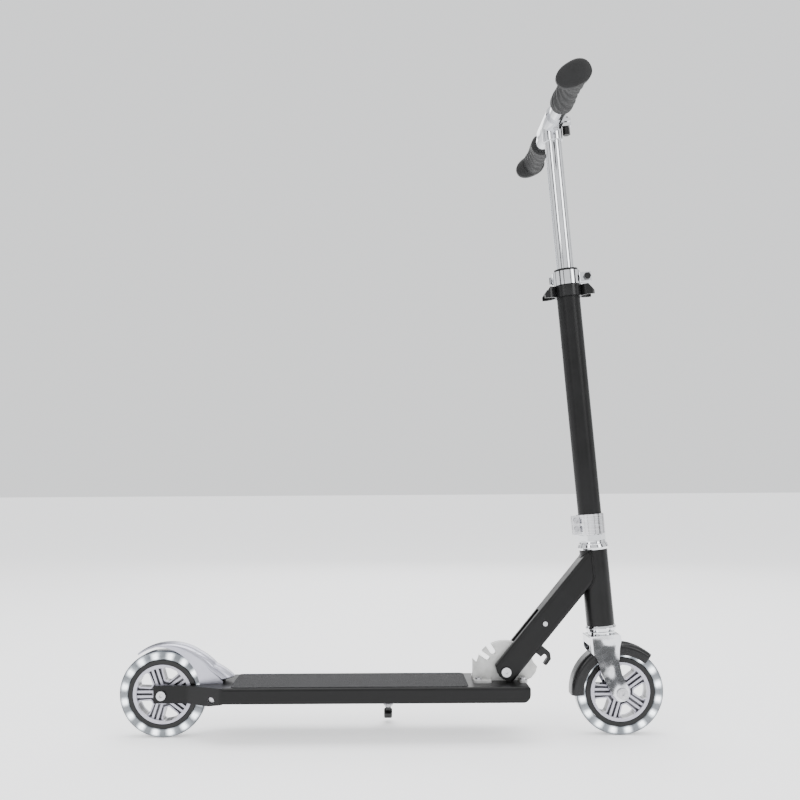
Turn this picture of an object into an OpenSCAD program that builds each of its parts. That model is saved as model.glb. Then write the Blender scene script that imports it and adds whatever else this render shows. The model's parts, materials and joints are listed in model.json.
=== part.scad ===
// Folding kick scooter. Millimetres, +X to the front wheel, +Y to the rider's left, +Z up.
// The origin is on the floor, midway between the two axles.

/* [Frame] */
// Distance from the front end of the deck to the front axle
neck_reach = 129; // [107:1:155]
// Lean of the steering column back from vertical, in degrees
column_lean = 5.1; // [4:0.1:7]
// How far the front axle sits ahead of the steering axis
fork_offset = 15.5; // [12:0.5:19]

/* [Wheels] */
// Diameter over the tyres
wheel_d = 120; // [100:2:145]
// Width of a tyre
tyre_w = 24; // [20:1:29]
// Radial height of the clear tyre
tyre_h = 12.5; // [10:0.5:15]
// Radial height of the black light carrier
carrier_h = 6.8; // [5:0.2:8.4]
// Lamps in each wheel
lamp_n = 16; // [8:1:20]
// Diameter of the axle bolts
axle_d = 8; // [6:0.5:9.6]
// Outside diameter of a wheel bearing
bearing_d = 22; // [18:0.5:27]
// Width of a wheel bearing
bearing_w = 7; // [5:0.5:8.5]

/* [Deck] */
// Length of the deck extrusion
deck_l = 412.5; // [342.5:2.5:497.5]
// Width of the deck
deck_w = 100; // [82:1:122]
// Height of the deck extrusion
deck_h = 21.5; // [17.5:0.5:26]
// Wall of the deck extrusion
deck_wall = 2.8; // [2.2:0.2:3.4]
// Distance from the axle height down to the underside of the deck
deck_drop = 6; // [4:0.5:8]

/* [Fold] */
// Depth of the down tube, seen from the side
down_d = 32.7; // [27:0.1:40]
// Width of the down tube
down_w = 36; // [30:0.5:44]
// Thickness of the notched fold plate
plate_t = 12; // [10:0.5:14.5]
// Radius of the notched arc
plate_r = 40.5; // [33.5:0.5:49]
// Diameter of the fold bolt
fold_bolt_d = 8; // [6:0.5:10]
// Angle that the column folds through
fold_angle = 85; // [70:1:88]
// Travel of the lock slider
lock_travel = 6; // [5:0.5:7.5]

/* [Head] */
// Length of the head tube
head_l = 105; // [87:1:127]
// Outside diameter of the head tube
head_d = 38; // [36:0.5:46]
// Diameter of the steerer tube
steerer_d = 28.6; // [27:0.2:30]

/* [Column] */
// Length of the lower column
column_l = 365; // [300:5:440]
// Outside diameter of the lower column
column_d = 32; // [31.8:0.2:38.6]
// Outside diameter of the chrome upper tube
upper_d = 23; // [19:0.5:25]
// Height of the handlebar centre above the top of the lower column, at rest
upper_show = 207; // [172:1:250]
// Length of the upper tube that stays inside the lower column, at rest
upper_in = 190; // [158:1:230]

/* [Handlebar] */
// Width over the grips
bar_w = 340; // [280:5:410]
// Outside diameter of the bars
bar_d = 22.2; // [18.4:0.2:26.8]
// Length of the T sleeve
sleeve_l = 74; // [61:1:89]
// Length of a grip
grip_l = 96; // [80:1:116]

/* [Kickstand] */
// Height of the foot above the floor when the stand is down
stand_lift = 4.4; // [3.6:0.1:5.4]
// Splay of the deployed stand from vertical, in degrees
stand_splay = 52; // [43:1:62]

/* [Fits] */
// Radial gap of a turning fit
run = 0.05; // [0.02:0.01:0.1]
// Gap between faces that move past each other
gap = 0.4; // [0.3:0.05:0.5]

/* [Hidden] */
$fn = 64;

BLACK = "#2b2b2d";
DARK = "#3a3a3c";
SILVER = "#c9c9ce";
CHROME = "#e6e8ea";

eps = 0.01;
wheel_r = wheel_d / 2;

// Behind the deck lie the web of the rear fork, the fender's lugs and the wheel
tyre_room = 4.5;
web_t = 9;
fender_lug_r = 6.5;
fender_lug_room = 1;
rear_reach = wheel_r + tyre_room + 2 * (fender_lug_r + fender_lug_room) + web_t;
wheelbase = rear_reach + deck_l + neck_reach;
rear_x = -wheelbase / 2;
front_x = wheelbase / 2;
deck_x0 = rear_x + rear_reach;
web_x = deck_x0 - web_t;
deck_x1 = deck_x0 + deck_l;
deck_z0 = wheel_r - deck_drop;
deck_z1 = deck_z0 + deck_h;
channel_n = 3;
channel_w = (deck_w - (channel_n + 1) * deck_wall) / channel_n;
channel_end = 14;
tape_t = 0.8;
tape_edge = 4;

// Fold point, and the down tube that aims at the head tube
fold_x = deck_x1 - 28.5;
fold_z = deck_z1 + 13.7;
steer_x = front_x - fork_offset * cos(column_lean);
steer_z = wheel_r - fork_offset * sin(column_lean);
fender_gap = 4;
fender_t = 3;
fender_r = wheel_r + fender_gap + fender_t;
crown_s0 = fender_r + 1.5;
crown_s1 = crown_s0 + 12.2;
head_s0 = crown_s1 + 12;
head_s1 = head_s0 + head_l;
aim_s = head_s1 - 13.5;
aim_x = steer_x - aim_s * sin(column_lean);
aim_z = steer_z + aim_s * cos(column_lean);
down_a = atan2(aim_z - fold_z, aim_x - fold_x);
down_l = norm([aim_x - fold_x, aim_z - fold_z]);
down_wall = 3;
slot_w = plate_t + 2;
bolt_head_h = 3;

// Notches: the riding notch lies under the tooth, the others meet it as the column folds
tooth_a = 60;
tooth_w = 5.5;
notch_w = 7;
notch_depth = 14.5;
notch_at = [tooth_a, tooth_a + 63, tooth_a + fold_angle];
slide_a = tooth_a - down_a;
pin_u = 85;
lock_t = plate_t - 3;

// Rear end
arm_in = tyre_w / 2 + 3.5;
arm_out = arm_in + 4.5;
arm_z0 = wheel_r - 10.5;
arm_z1 = wheel_r + 13.2;
brake_x = web_x - fender_lug_r - fender_lug_room;
brake_z = wheel_r - 2.5;
brake_pin_d = 5;
brake_pin_y = arm_out + 12;
brake_head_d = 8.4;

// Fork and front wheel
fork_in = tyre_w / 2 + 6.5;
fork_out = fork_in + 5;

// Column stack, as distances along the steering axis
cup_h = 8.2;
cup_d = head_d + 4;
cone_s = head_s1 + cup_h + gap;
cone_h = 2.6;
washer_t = 1.5;
nut_h = 7.5;
nut_s = cone_s + cone_h + washer_t;
collar_s0 = nut_s + nut_h + 1.5;
collar_h = 27.5;
column_s0 = collar_s0 + 1.8;
column_s1 = column_s0 + column_l;
steerer_s1 = collar_s0 + collar_h - 2;
bush_rim = 2.5;
clamp_h = 19;
clamp_s0 = column_s1 - clamp_h - 1;
clip_h = 15;
clip_s0 = clamp_s0 - clip_h - 1;
clamp_d = column_d + 6;
clip_d = column_d + 5;
clip_bore = bar_d + 0.4;
clip_wall = 2.4;
clip_x = clip_d / 2 + clip_bore / 2 - 0.4;
key_s = column_s1 - 103;
key_d = 3;
t_s = column_s1 + upper_show;
sleeve_d = bar_d + 6;
socket_h = 12;
groove_depth = 1.6;
groove_end = 12;
button_y = sleeve_l / 2 - 12;
button_d = 6;

// Kickstand
stand_x = -4;
stand_y = deck_w / 2 - 20;
stand_z = deck_z0 - 10;
foot_side = 3.4;
foot_h = 15;
stand_l = (stand_z - stand_lift - foot_side * sin(stand_splay)) / cos(stand_splay);

function unit(v) = v / norm(v);
function limit1(v) = max(-1, min(1, v));

// One corner of an outline, as the arc of its radius
function corner(a, b, c, n) =
    let (
        u = unit([a.x - b.x, a.y - b.y]),
        w = unit([c.x - b.x, c.y - b.y]),
        half = acos(limit1(u * w)) / 2,
        mid = [b.x, b.y] + unit(u + w) * b[2] / sin(half),
        p = [b.x, b.y] + u * b[2] / tan(half),
        q = [b.x, b.y] + w * b[2] / tan(half),
        a0 = atan2(p.y - mid.y, p.x - mid.x),
        a1 = atan2(q.y - mid.y, q.x - mid.x),
        turn = a1 - a0,
        sweep = turn > 180 ? turn - 360 : turn < -180 ? turn + 360 : turn
    )
    [for (i = [0:n]) mid + b[2] * [cos(a0 + sweep * i / n), sin(a0 + sweep * i / n)]];

// An outline from corner points [x, y, radius]
function rounded(pts, n = 5) = [
    for (i = [0:len(pts) - 1])
        let (
            a = pts[(i + len(pts) - 1) % len(pts)],
            b = pts[i],
            c = pts[(i + 1) % len(pts)]
        )
        each (b[2] == 0 ? [[b.x, b.y]] : corner(a, b, c, n))
];

function box_pts(x0, y0, x1, y1, r) = rounded([[x0, y0, r], [x1, y0, r], [x1, y1, r], [x0, y1, r]]);
function arc(r, a0, a1, n = 24, cx = 0, cy = 0) =
    [for (i = [0:n]) [cx + r * cos(a0 + (a1 - a0) * i / n), cy + r * sin(a0 + (a1 - a0) * i / n)]];
function turned(pts, a) = [for (p = pts) [p.x * cos(a) - p.y * sin(a), p.x * sin(a) + p.y * cos(a)]];

// A plate of thickness t across Y, centred on y, from an outline in X and Z
module side_plate(t, y = 0)
    translate([0, y + t / 2, 0]) rotate([90, 0, 0]) linear_extrude(height = t) children();

// An outline in Y and Z carried along X
module along_x(x0, l)
    translate([x0, 0, 0]) rotate([90, 0, 90]) linear_extrude(height = l) children();

module y_rod(x, z, d, y0, y1)
    translate([x, y1, z]) rotate([90, 0, 0]) cylinder(d = d, h = y1 - y0);

module tube(d, bore, h)
    difference() {
        cylinder(d = d, h = h);
        translate([0, 0, -1]) cylinder(d = bore, h = h + 2);
    }

module on_steer(s = 0)
    translate([steer_x, 0, steer_z]) rotate([0, -column_lean, 0]) translate([0, 0, s]) children();

module on_down()
    translate([fold_x, 0, fold_z]) rotate([0, -down_a, 0]) children();

module on_fold() translate([fold_x, 0, fold_z]) children();
module on_rear() translate([rear_x, 0, wheel_r]) children();
module on_front() translate([front_x, 0, wheel_r]) children();
module on_stand() translate([stand_x, stand_y, stand_z]) rotate([stand_splay, 0, 0]) children();
module on_bar() on_steer(t_s) children();

// A closed coil of round wire along +Z
module coil(r, wire, turns, h, steps = 14, sides = 6) {
    rings = ceil(turns * steps);
    pts = [
        for (i = [0:rings], k = [0:sides - 1])
            let (a = 360 * turns * i / rings, b = 360 * k / sides, m = r + wire / 2 * cos(b))
            [m * cos(a), m * sin(a), h * i / rings + wire / 2 * sin(b)]
    ];
    walls = [
        for (i = [0:rings - 1], k = [0:sides - 1])
            let (n = (k + 1) % sides)
            [i * sides + k, (i + 1) * sides + k, (i + 1) * sides + n, i * sides + n]
    ];
    polyhedron(pts, concat([[for (k = [0:sides - 1]) k]], walls,
        [[for (k = [sides - 1:-1:0]) rings * sides + k]]), convexity = 6);
}

// ---- deck and rear end

module deck_section() polygon(rounded([
    [-deck_w / 2, deck_z0, 2], [deck_w / 2, deck_z0, 2],
    [deck_w / 2, deck_z1, 4], [-deck_w / 2, deck_z1, 4]]));

screw_d = 5;
screw_x = [-38, 23];
screw_y = 17;

module deck() color(BLACK)
    difference() {
        intersection() {
            along_x(deck_x0, deck_l) deck_section();
            side_plate(deck_w + 2) polygon(rounded([
                [deck_x0 - 1, deck_z0, 0], [deck_x1, deck_z0, 11],
                [deck_x1, deck_z1, 3], [deck_x0 - 1, deck_z1, 0]]));
        }
        for (i = [0:channel_n - 1])
            let (y = (i - (channel_n - 1) / 2) * (channel_w + deck_wall))
            along_x(deck_x0 - 1, deck_l - channel_end + 1)
                polygon(box_pts(y - channel_w / 2, deck_z0 + deck_wall, y + channel_w / 2,
                    deck_z1 - deck_wall, 2));
        on_fold() for (x = screw_x, y = [-screw_y, screw_y])
            translate([x, y, -20]) cylinder(d = screw_d, h = 20);
    }

module grip_tape() color("#1e1e20")
    translate([0, 0, deck_z1]) linear_extrude(height = tape_t)
        polygon(box_pts(deck_x0 + 10, -deck_w / 2 + tape_edge, fold_x - 54,
            deck_w / 2 - tape_edge, 6));

module rear_fork() color(BLACK)
    difference() {
        union() {
            intersection() {
                translate([0, 0, arm_z0 - 1]) linear_extrude(height = deck_h + 10)
                    polygon(rounded([
                        [rear_x - 11, -arm_out, 1], [rear_x + 35, -arm_out, 12],
                        [web_x + 6, -deck_w / 2, 10], [deck_x0, -deck_w / 2, 0],
                        [deck_x0, deck_w / 2, 0], [web_x + 6, deck_w / 2, 10],
                        [rear_x + 35, arm_out, 12], [rear_x - 11, arm_out, 1],
                        [rear_x - 11, arm_in, 1], [web_x, arm_in, 1],
                        [web_x, -arm_in, 1], [rear_x - 11, -arm_in, 1]]));
                side_plate(deck_w + 2) polygon(rounded([
                    [rear_x - 12, arm_z0, 0], [web_x - 12, arm_z0, 20], [deck_x0, deck_z0, 0],
                    [deck_x0, deck_z1, 0], [web_x - 8, deck_z1 - 0.5, 20],
                    [rear_x + 35, arm_z1, 20], [rear_x - 12, arm_z1, 0]]));
            }
            for (i = [0:channel_n - 1])
                let (y = (i - (channel_n - 1) / 2) * (channel_w + deck_wall), m = gap / 2)
                along_x(deck_x0 - eps, 26)
                    polygon(box_pts(y - channel_w / 2 + m, deck_z0 + deck_wall + m,
                        y + channel_w / 2 - m, deck_z1 - deck_wall - m, 2));
        }
        y_rod(rear_x, wheel_r, axle_d + 2 * run, -deck_w, deck_w);
        y_rod(brake_x, brake_z, brake_pin_d + 2 * run, -deck_w, deck_w);
        for (m = [0, 1]) mirror([0, m, 0])
            y_rod(brake_x, brake_z, brake_head_d + 1, brake_pin_y, deck_w);
    }

module fold_block() color(SILVER)
    on_fold() difference() {
        union() {
            side_plate(plate_t) polygon(concat(
                [[-44.4, -13.7], [-10, -13.7], [28.5, -13.7], [36, -10.5], [42, -3], [44.5, 5]],
                arc(plate_r, 17, 150, 22),
                [[-38.4, 10], [-44.4, 15.5]]));
            for (x = [-44.4, 18.4])
                translate([0, 0, -13.7]) linear_extrude(height = 3.6)
                    polygon(box_pts(x, -24, x < 0 ? x + 24 : 28.5, 24, 3));
        }
        for (a = notch_at)
            side_plate(plate_t + 2)
                polygon(turned(rounded([[plate_r - notch_depth, -notch_w / 2, 3],
                    [plate_r + 8, -notch_w / 2, 0], [plate_r + 8, notch_w / 2, 0],
                    [plate_r - notch_depth, notch_w / 2, 3]]), a));
        y_rod(0, 0, fold_bolt_d, -plate_t, plate_t);
        for (x = screw_x, y = [-screw_y, screw_y])
            translate([x, y, -15]) cylinder(d = screw_d, h = 20);
    }

module fold_block_screws() color(SILVER)
    on_fold() for (x = screw_x, y = [-screw_y, screw_y])
        translate([x, y, -20]) difference() {
            union() {
                cylinder(d = screw_d, h = 10);
                translate([0, 0, 9.9]) cylinder(d = 9, h = 3);
            }
            translate([0, 0, 11.2]) cylinder(d = 3.4, h = 3, $fn = 6);
        }

fold_head_y = down_w / 2 + gap;

module fold_bolt() color(CHROME)
    on_fold() difference() {
        union() {
            y_rod(0, 0, fold_bolt_d, -fold_head_y, fold_head_y);
            y_rod(0, 0, 13, -fold_head_y - bolt_head_h, -fold_head_y);
            y_rod(0, 0, 13, fold_head_y, fold_head_y + bolt_head_h);
        }
        for (m = [0, 1]) mirror([0, m, 0])
            translate([0, -fold_head_y - bolt_head_h - 1, 0]) rotate([-90, 0, 0])
                cylinder(d = 5, h = 3, $fn = 6);
    }

module axle(y_in, head_d_near) {
    difference() {
        union() {
            y_rod(0, 0, axle_d, -y_in, y_in);
            y_rod(0, 0, head_d_near, -y_in - bolt_head_h, -y_in);
            y_rod(0, 0, head_d_near, y_in, y_in + bolt_head_h);
        }
        for (m = [0, 1]) mirror([0, m, 0])
            translate([0, -y_in - bolt_head_h - 1, 0]) rotate([-90, 0, 0])
                cylinder(d = 4.6, h = 3, $fn = 6);
    }
}

// Two side spacers, and the middle one that carries the magnet ring
module axle_spacers(y_in) {
    for (m = [0, 1]) mirror([0, m, 0])
        difference() {
            y_rod(0, 0, axle_d + 3.6, tyre_w / 2 + gap / 2, y_in);
            y_rod(0, 0, axle_d + 2 * run, 0, y_in + 1);
        }
    difference() {
        union() {
            y_rod(0, 0, axle_d + 3, -tyre_w / 2 + bearing_w + gap, tyre_w / 2 - bearing_w - gap);
            y_rod(0, 0, bearing_d - 6, -3, 3);
        }
        y_rod(0, 0, axle_d + 2 * run, -tyre_w, tyre_w);
    }
}

module rear_axle() color(SILVER) on_rear() axle(arm_out, 12.7);
module rear_axle_spacers() color(SILVER) on_rear() axle_spacers(arm_in);

module brake_pin() color(SILVER)
    translate([brake_x, 0, brake_z]) {
        y_rod(0, 0, brake_pin_d, -brake_pin_y, brake_pin_y);
        for (m = [0, 1]) mirror([0, m, 0])
            y_rod(0, 0, brake_head_d, brake_pin_y, brake_pin_y + 2);
    }

module brake_spring() color(SILVER)
    translate([brake_x, -5, brake_z]) rotate([-90, 0, 0])
        coil(r = brake_pin_d / 2 + 1.4, wire = 1.4, turns = 5, h = 9);

// ---- brake fender

fender_w = 2 * arm_in - 1.6;
fender_wall = 2;

// Side outline of the fender's crown, about the rear axle
function fender_top(t) = [for (a = [118, 104, 90, 76, 62])
    (wheel_r + 5.8 - t + (118 - a) * 0.15) * [cos(a), sin(a)]];
lug_x = brake_x - rear_x;
lug_z = brake_z - wheel_r;
nose_a = 48.7;
nose_rise = 17.2;
nose_tip = 26;
fender_nose = [(wheel_r + nose_rise) * [cos(nose_a), sin(nose_a)],
    [lug_x + nose_tip, lug_z + nose_tip]];

module fender_side() polygon(concat(
    fender_top(0), fender_nose,
    [[lug_x + 6.9, lug_z + 18.5]], arc(fender_lug_r, 20, -200, 12, lug_x, lug_z),
    arc(wheel_r + 4, 14, 118, 16)));

module fender_band() polygon(concat(
    fender_top(0), fender_nose,
    [fender_nose[1] - [2, 2], fender_nose[0] - [1, 2.5]],
    [for (i = [4:-1:0]) fender_top(fender_wall)[i]]));

module rear_fender() color(SILVER)
    on_rear() difference() {
        union() {
            side_plate(fender_w) fender_band();
            for (m = [-1, 1])
                side_plate(fender_wall, m * (fender_w - fender_wall) / 2) fender_side();
        }
        y_rod(lug_x, lug_z, brake_pin_d + 2 * run, -fender_w, fender_w);
    }

// ---- kickstand

module stand_bracket() color(SILVER)
    difference() {
        union() {
            translate([0, 0, deck_z0 - 2.5]) linear_extrude(height = 2.5)
                polygon(box_pts(stand_x - 15, stand_y - 26, stand_x + 15, stand_y + 10, 4));
            intersection() {
                on_stand() translate([0, -3.5, 0]) rotate([90, 0, 0]) linear_extrude(height = 6)
                    polygon(rounded([[-6.2, -6.2, 5], [6.2, -6.2, 5], [8, 24, 0], [-8, 24, 0]]));
                translate([stand_x - 20, stand_y - 40, 0]) cube([40, 60, deck_z0 - 2]);
            }
        }
        on_stand() y_rod(0, 0, 5, -20, 5);
    }

module stand_pin() color(SILVER)
    on_stand() {
        y_rod(0, 0, 5, -10, 6);
        y_rod(0, 0, 9, -12, -10);
        y_rod(0, 0, 8, 3.2, 5.4);
    }

module stand_spring() color(SILVER)
    on_stand() translate([0, -2.6, 0]) rotate([-90, 0, 0])
        coil(r = 4.6, wire = 0.9, turns = 1.6, h = 1.6);

module kickstand() color(BLACK)
    on_stand() difference() {
        union() {
            y_rod(0, 0, 12, -0.4, 2.8);
            translate([0, -0.4, 0]) rotate([-90, 0, 0]) linear_extrude(height = 3.2)
                polygon(rounded([[-4.6, 0, 0], [4.6, 0, 0], [3.6, stand_l - 15, 0],
                    [4.4, stand_l - 3, 2], [-4.4, stand_l - 3, 2], [-3.6, stand_l - 15, 0]]));
        }
        y_rod(0, 0, 5 + 2 * run, -5, 5);
    }

module stand_foot() color("#1c1c1c")
    on_stand() difference() {
        translate([0, -foot_side, -stand_l + foot_h]) rotate([0, 180, 0]) linear_extrude(height = foot_h)
            polygon(box_pts(-6, 0, 6, 9.2, 2.5));
        translate([0, -0.4 - eps, 0]) rotate([-90, 0, 0]) linear_extrude(height = 3.2 + 2 * eps)
            polygon(rounded([[-3.6, stand_l - 16, 0], [3.6, stand_l - 16, 0],
                [4.4 + eps, stand_l - 3 + eps, 0], [-4.4 - eps, stand_l - 3 + eps, 0]]));
    }

// ---- wheels, about their own axle

rim_r = wheel_r - tyre_h - carrier_h;
rim_t = 4.7;
spoke_n = 5;
boss_r = bearing_d / 2 + 2.6;
web_half = 5;

function window(m) = rounded([
    [boss_r + 5.5 - m, -2.4 - m, 2.2], [rim_r - rim_t - 3.5, -11.4 - m, 4],
    [rim_r - rim_t + 0.2 + m, -9 - m, 2], [rim_r - rim_t + 1.6 + m, 0, 12],
    [rim_r - rim_t + 0.2 + m, 9 + m, 2], [rim_r - rim_t - 3.5, 11.4 + m, 4],
    [boss_r + 5.5 - m, 2.4 + m, 2.2]], 4);

module hub()
    difference() {
        union() {
            y_rod(0, 0, 2 * rim_r, -web_half, web_half);
            difference() {
                y_rod(0, 0, 2 * rim_r, -tyre_w / 2, tyre_w / 2);
                y_rod(0, 0, 2 * (rim_r - rim_t), -tyre_w, tyre_w);
            }
            y_rod(0, 0, 2 * boss_r, -tyre_w / 2, tyre_w / 2);
            for (i = [0:spoke_n - 1])
                let (a = 180 - i * 360 / spoke_n, b = 144 - i * 360 / spoke_n) {
                    for (y = [-3.3, 3.3])
                        side_plate(tyre_w - 4) polygon(turned(
                            box_pts(boss_r - 2, y - 1.6, rim_r - rim_t / 2, y + 1.6, 0.4), a));
                    side_plate(tyre_w - 7) polygon(turned(window(1.7), b));
                }
        }
        for (i = [0:spoke_n - 1])
            side_plate(tyre_w + 2) polygon(turned(window(0), 144 - i * 360 / spoke_n));
        y_rod(0, 0, bearing_d - 4, -tyre_w, tyre_w);
        for (m = [0, 1]) mirror([0, m, 0])
            y_rod(0, 0, bearing_d, tyre_w / 2 - bearing_w, tyre_w);
    }

module bearings()
    for (m = [0, 1]) mirror([0, m, 0])
        difference() {
            y_rod(0, 0, bearing_d, tyre_w / 2 - bearing_w, tyre_w / 2);
            y_rod(0, 0, axle_d + 2 * run, 0, tyre_w);
            difference() {
                y_rod(0, 0, bearing_d - 4, tyre_w / 2 - 0.5, tyre_w);
                y_rod(0, 0, axle_d + 4, 0, tyre_w + 1);
            }
        }

// A ring about Y from a half section of [radius, y] points
module ring(pts) rotate([90, 0, 0]) rotate_extrude($fn = 96) polygon(pts);

carrier_r = rim_r + carrier_h;
lamp_h = 3;
lamp_d = 5;

module lamp_carrier()
    ring(box_pts(rim_r, -tyre_w / 2 + 0.4, carrier_r, tyre_w / 2 - 0.4, 0.8));

module lamps()
    for (i = [0:lamp_n - 1])
        rotate([0, 360 * (i + 0.5) / lamp_n, 0]) translate([0, 0, carrier_r - eps])
            cylinder(d = lamp_d, h = lamp_h, $fn = 24);

// Half of the tread's flat; wide enough that the scooter stands up on its wheels
tread_flat = tyre_w / 3;
tyre_side = 5;

module tyre() ring(rounded([
    [carrier_r, -tyre_w / 2, 0.6], [carrier_r + tyre_side, -tyre_w / 2, 6],
    [wheel_r, -tread_flat - 1.6, 3], [wheel_r, tread_flat + 1.6, 3],
    [carrier_r + tyre_side, tyre_w / 2, 6], [carrier_r, tyre_w / 2, 0.6],
    [carrier_r, lamp_d / 2 + 0.5, 0], [carrier_r + lamp_h + 0.5, lamp_d / 2 + 0.5, 1],
    [carrier_r + lamp_h + 0.5, -lamp_d / 2 - 0.5, 1], [carrier_r, -lamp_d / 2 - 0.5, 0]], 6));

module rear_hub() color(SILVER) on_rear() hub();
module rear_bearings() color("#8a8a90") on_rear() bearings();
module rear_lamp_carrier() color("#161618") on_rear() lamp_carrier();
module rear_lamps() color("#f4f8ff") on_rear() lamps();
module rear_tyre() color("#dfe8f0") on_rear() tyre();
module front_hub() color(SILVER) on_front() hub();
module front_bearings() color("#8a8a90") on_front() bearings();
module front_lamp_carrier() color("#161618") on_front() lamp_carrier();
module front_lamps() color("#f4f8ff") on_front() lamps();
module front_tyre() color("#dfe8f0") on_front() tyre();

// ---- down tube and head tube. In on_down(), X runs up the tube and Z to its upper face

// Where the lock spring's end wall and the two slots end, from the fold pivot
spring_u = 127;
plate_slot = 80;
lock_slot = 94;
lock_pin_d = 5;
bush_d = 16;

// The tube's side outline, with a bulged lower end
tube_end = 2.5;
end_bulge = 8;

module down_side() polygon(concat(
    [[down_l, down_d / 2], [-tube_end, down_d / 2]],
    [for (i = [1:7]) let (t = -1 + 2 * i / 8)
        [-tube_end - end_bulge * (1 - t * t), -t * down_d / 2]],
    [[-tube_end, -down_d / 2], [down_l, -down_d / 2]]));

module down_tube() color(BLACK)
    difference() {
        on_down() difference() {
            intersection() {
                side_plate(down_w) down_side();
                along_x(-20, down_l + 20) polygon(box_pts(-down_w / 2, -down_d / 2,
                    down_w / 2, down_d / 2, 5));
            }
            for (x = [[-20, spring_u], [spring_u + 3, down_l - 26]])
                along_x(x[0], x[1] - x[0]) polygon(box_pts(-down_w / 2 + down_wall,
                    -down_d / 2 + down_wall, down_w / 2 - down_wall, down_d / 2 - down_wall, 2));
            // Slot for the notched plate, and the lock's longer slot in the upper face
            translate([-20, -slot_w / 2, -down_d])
                cube([plate_slot, slot_w, 2 * down_d]);
            along_x(0, lock_slot)
                polygon(box_pts(-slot_w / 2, 0, slot_w / 2, down_d, 1));
            y_rod(0, 0, fold_bolt_d + 2 * run, -down_w, down_w);
            y_rod(pin_u, 0, lock_pin_d, -down_w, down_w);
        }
        on_steer(head_s0 - 5) {
            cylinder(d = head_d, h = head_l + 10);
            // Nothing of the tube is left in front of the head tube's axis
            translate([0, -down_w, 0]) cube([head_d, 2 * down_w, head_l + 10]);
        }
    }

module fold_bushes() color("#202022")
    on_fold() for (m = [0, 1]) mirror([0, m, 0])
        difference() {
            y_rod(0, 0, bush_d, plate_t / 2 + gap / 2, down_w / 2 - down_wall);
            y_rod(0, 0, fold_bolt_d + 2 * run, 0, down_w);
        }

module head_tube() color(BLACK) on_steer(head_s0) tube(head_d, head_d - 6, head_l);

module cup() rotate_extrude($fn = 96) polygon(rounded([
    [steerer_d / 2 + 0.9, -6, 0], [head_d / 2 - 3, -6, 0], [head_d / 2 - 3, 0, 0],
    [cup_d / 2 - 2, 0, 0.5], [cup_d / 2, 3, 1.2], [cup_d / 2 - 1.5, cup_h, 1.2],
    [steerer_d / 2 + 0.9, cup_h, 0]], 4));

module headset_cups() color(CHROME) {
    on_steer(head_s1) cup();
    on_steer(head_s0) mirror([0, 0, 1]) cup();
}

module lock_pin() color(CHROME)
    on_down() {
        y_rod(pin_u, 0, lock_pin_d, -down_w / 2 - 0.2, down_w / 2 + 0.2);
        for (m = [0, 1]) mirror([0, m, 0])
            y_rod(pin_u, 0, lock_pin_d + 1.4, down_w / 2, down_w / 2 + 1.2);
    }

lock_top = pin_u + 13;
pin_slot = lock_pin_d / 2 + 0.2;

module lock_spring() color(SILVER)
    on_down() translate([lock_top + 0.8, 0, 0]) rotate([0, 90, 0])
        coil(r = 4.6, wire = 1.2, turns = 8, h = spring_u - lock_top - 1.6);

// The slider in its released place: tooth, body with a slot for the pin, and finger hook
module lock_slider() color(BLACK)
    on_down() difference() {
        union() {
            side_plate(lock_t) polygon(turned(rounded([
                [plate_r + 0.8, -tooth_w / 2, 0.8], [68, -tooth_w / 2, 0],
                [68, tooth_w / 2, 0], [plate_r + 0.8, tooth_w / 2, 0.8]]), slide_a));
            side_plate(lock_t) polygon(rounded([
                [56, 10.5, 2], [lock_top, 10.5, 2], [lock_top, -10.5, 2], [58.5, -11, 1],
                [58.5, -33, 4], [52, -40, 4], [41, -40.5, 2], [40, -36.2, 1.2], [50, -35, 2],
                [52, -32, 1.5], [52, -28, 1.5], [45.5, -27, 1], [45.5, -17.2, 0.5],
                [49, -12, 0], [56, -3, 1]]));
        }
        translate([pin_u, 0, 0]) side_plate(lock_t + 2) polygon(turned(
            box_pts(-pin_slot, -pin_slot, lock_travel + pin_slot, pin_slot, 0.6), slide_a));
    }

// ---- fork and steering. In on_steer(), Z runs up the steering axis and X forward

module fork_side() polygon(rounded([
    [-21.5, crown_s1, 2.5], [-22.3, crown_s0 - 8, 9], [-14.5, wheel_r - 10, 10],
    [-9.5, 27, 6], [fork_offset - 13.5, 0, 8], [fork_offset - 5, -12, 8],
    [fork_offset + 8.5, -9, 9], [fork_offset + 10, 4, 6], [fork_offset + 2, 26, 10],
    [15.3, wheel_r - 18, 14], [18, crown_s0 - 6, 10], [21.3, crown_s0 + 4, 4],
    [21.3, crown_s1, 3]]));

module fork() color(CHROME)
    on_steer() difference() {
        intersection() {
            side_plate(2 * fork_out) fork_side();
            translate([0, 0, -20]) linear_extrude(height = crown_s1 + 30)
                polygon(rounded([[-23, -fork_out, 5], [27, -fork_out, 3],
                    [27, fork_out, 3], [-23, fork_out, 5]]));
        }
        side_plate(2 * fork_in) polygon([
            [-40, -30], [50, -30], [50, crown_s0], [-40, crown_s0]]);
        translate([0, 0, crown_s0 + 2.5]) cylinder(d = steerer_d, h = 30);
        cylinder(d = 6.2, h = crown_s1);
        y_rod(fork_offset, 0, axle_d + 2 * run, -fork_out - 1, fork_out + 1);
    }

module steerer() color(CHROME)
    on_steer(crown_s0 + 2.5) difference() {
        cylinder(d = steerer_d, h = steerer_s1 - crown_s0 - 2.5);
        translate([0, 0, 9]) cylinder(d = steerer_d - 4, h = head_l + 300);
        translate([0, 0, -1]) cylinder(d = 6, h = 20);
    }

module cone() rotate_extrude($fn = 96) polygon([
    [steerer_d / 2, 0], [steerer_d / 2 + 4.2, 0], [steerer_d / 2 + 3.2, cone_h],
    [steerer_d / 2, cone_h]]);

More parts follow.
